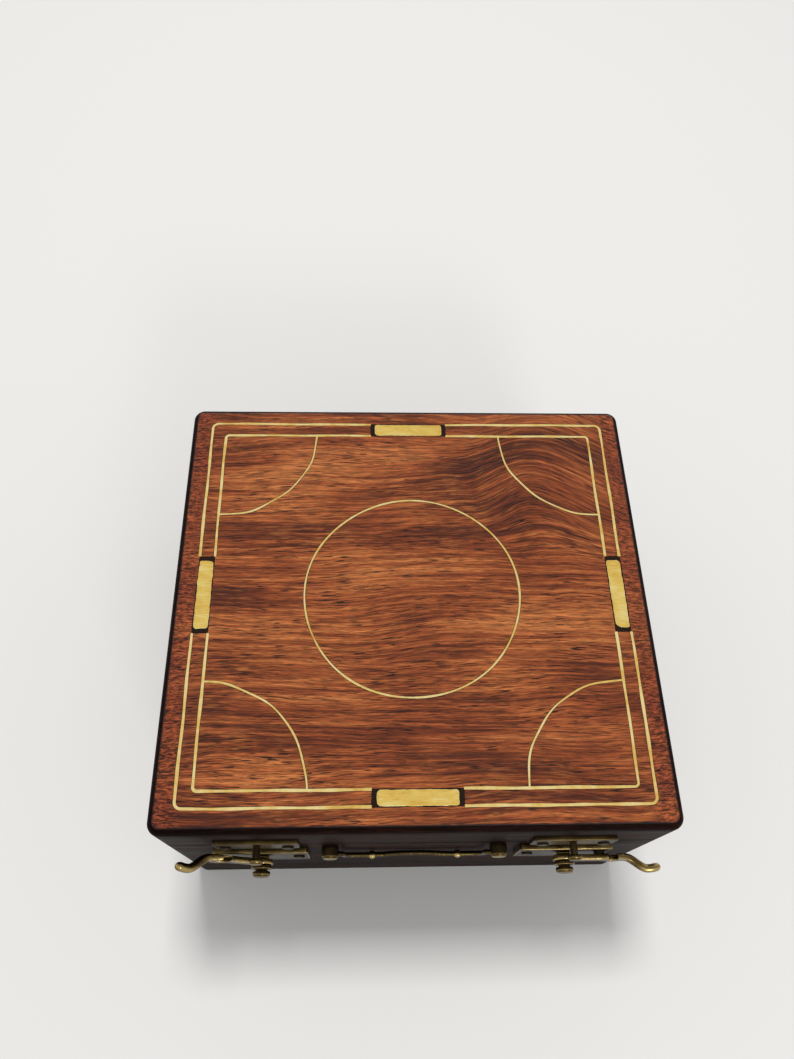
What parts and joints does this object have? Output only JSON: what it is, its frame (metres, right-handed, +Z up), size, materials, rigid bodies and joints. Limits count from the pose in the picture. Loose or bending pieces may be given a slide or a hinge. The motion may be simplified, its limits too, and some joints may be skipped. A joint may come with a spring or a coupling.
{
  "type": "sextant case",
  "caption": "Square hardwood case for a sextant, with a brass-inlaid hinged lid, two swing hooks and a drop handle on the front, and leg blocks inside.",
  "frame": {"origin": "centre of the case's underside, where it stands", "axes": "+Z up, -Y towards the front with the hooks and handle, +X to the right seen from the front"},
  "size_m": [0.201, 0.2062, 0.114],
  "materials": {
    "case_wood": "dark red-brown stain under satin lacquer",
    "lid_veneer_wood": "red-brown hardwood under satin lacquer",
    "block_wood": "oiled hardwood",
    "inlay_brass": "brushed, flush with the wood",
    "antique_brass": "darkened, bright where it is rubbed",
    "plain_brass": "plain turned",
    "dark_mastic": "hard wax and shellac filler",
    "green_felt": "napped wool felt"
  },
  "bodies": {
    "case": {"base_front_wall": "case_wood", "base_left_wall": "case_wood", "base_rear_wall": "case_wood", "base_right_wall": "case_wood", "bottom_board": "case_wood", "floor_felt": "green_felt", "handle_nuts": "plain_brass", "handle_washers": "antique_brass", "hinge_base_screws": "antique_brass", "latch_plate_screws": "antique_brass", "left_handle_post": "antique_brass", "left_hinge_base_leaf": "antique_brass", "left_hinge_pin": "antique_brass", "left_hook_pivot": "antique_brass", "left_latch_plate": "antique_brass", "left_leg_block": "block_wood", "rear_leg_block": "block_wood", "right_handle_post": "antique_brass", "right_hinge_base_leaf": "antique_brass", "right_hinge_pin": "antique_brass", "right_hook_pivot": "antique_brass", "right_latch_plate": "antique_brass", "right_leg_block": "block_wood", "socket_felts": "green_felt"},
    "lid": {"catch_plate_screws": "antique_brass", "corner_arc_strings": "inlay_brass", "front_inlay_plate": "inlay_brass", "hinge_lid_screws": "antique_brass", "inlay_mastic": "dark_mastic", "inner_string": "inlay_brass", "keeper_felt": "green_felt", "left_catch_plate": "antique_brass", "left_catch_stud": "antique_brass", "left_hinge_lid_leaf": "antique_brass", "left_inlay_plate": "inlay_brass", "lid_board": "lid_veneer_wood", "lid_felt": "green_felt", "lid_front_wall": "case_wood", "lid_keeper": "block_wood", "lid_left_wall": "case_wood", "lid_rear_wall": "case_wood", "lid_right_wall": "case_wood", "outer_string": "inlay_brass", "rear_inlay_plate": "inlay_brass", "right_catch_plate": "antique_brass", "right_catch_stud": "antique_brass", "right_hinge_lid_leaf": "antique_brass", "right_inlay_plate": "inlay_brass", "ring_string": "inlay_brass"},
    "right_hook": {"right_hook": "antique_brass"},
    "left_hook": {"left_hook": "antique_brass"},
    "handle": {"handle_bail": "antique_brass"}
  },
  "joints": [
    {"name": "lid_hinge", "type": "hinge", "parent": "case", "child": "lid", "pos_m": [0, 0.0979, 0.086], "axis": [-1, 0, 0], "range_deg": [0, 180]},
    {"name": "right_hook_swing", "type": "hinge", "parent": "case", "child": "right_hook", "pos_m": [0.0615, -0.0998, 0.072], "axis": [0, -1, 0], "range_deg": [-90, 90]},
    {"name": "left_hook_swing", "type": "hinge", "parent": "case", "child": "left_hook", "pos_m": [-0.0615, -0.0998, 0.072], "axis": [0, 1, 0], "range_deg": [-133, 47]},
    {"name": "handle_swing", "type": "hinge", "parent": "case", "child": "handle", "pos_m": [0, -0.098, 0.08], "axis": [-1, 0, 0], "range_deg": [0, 180]}
  ]
}
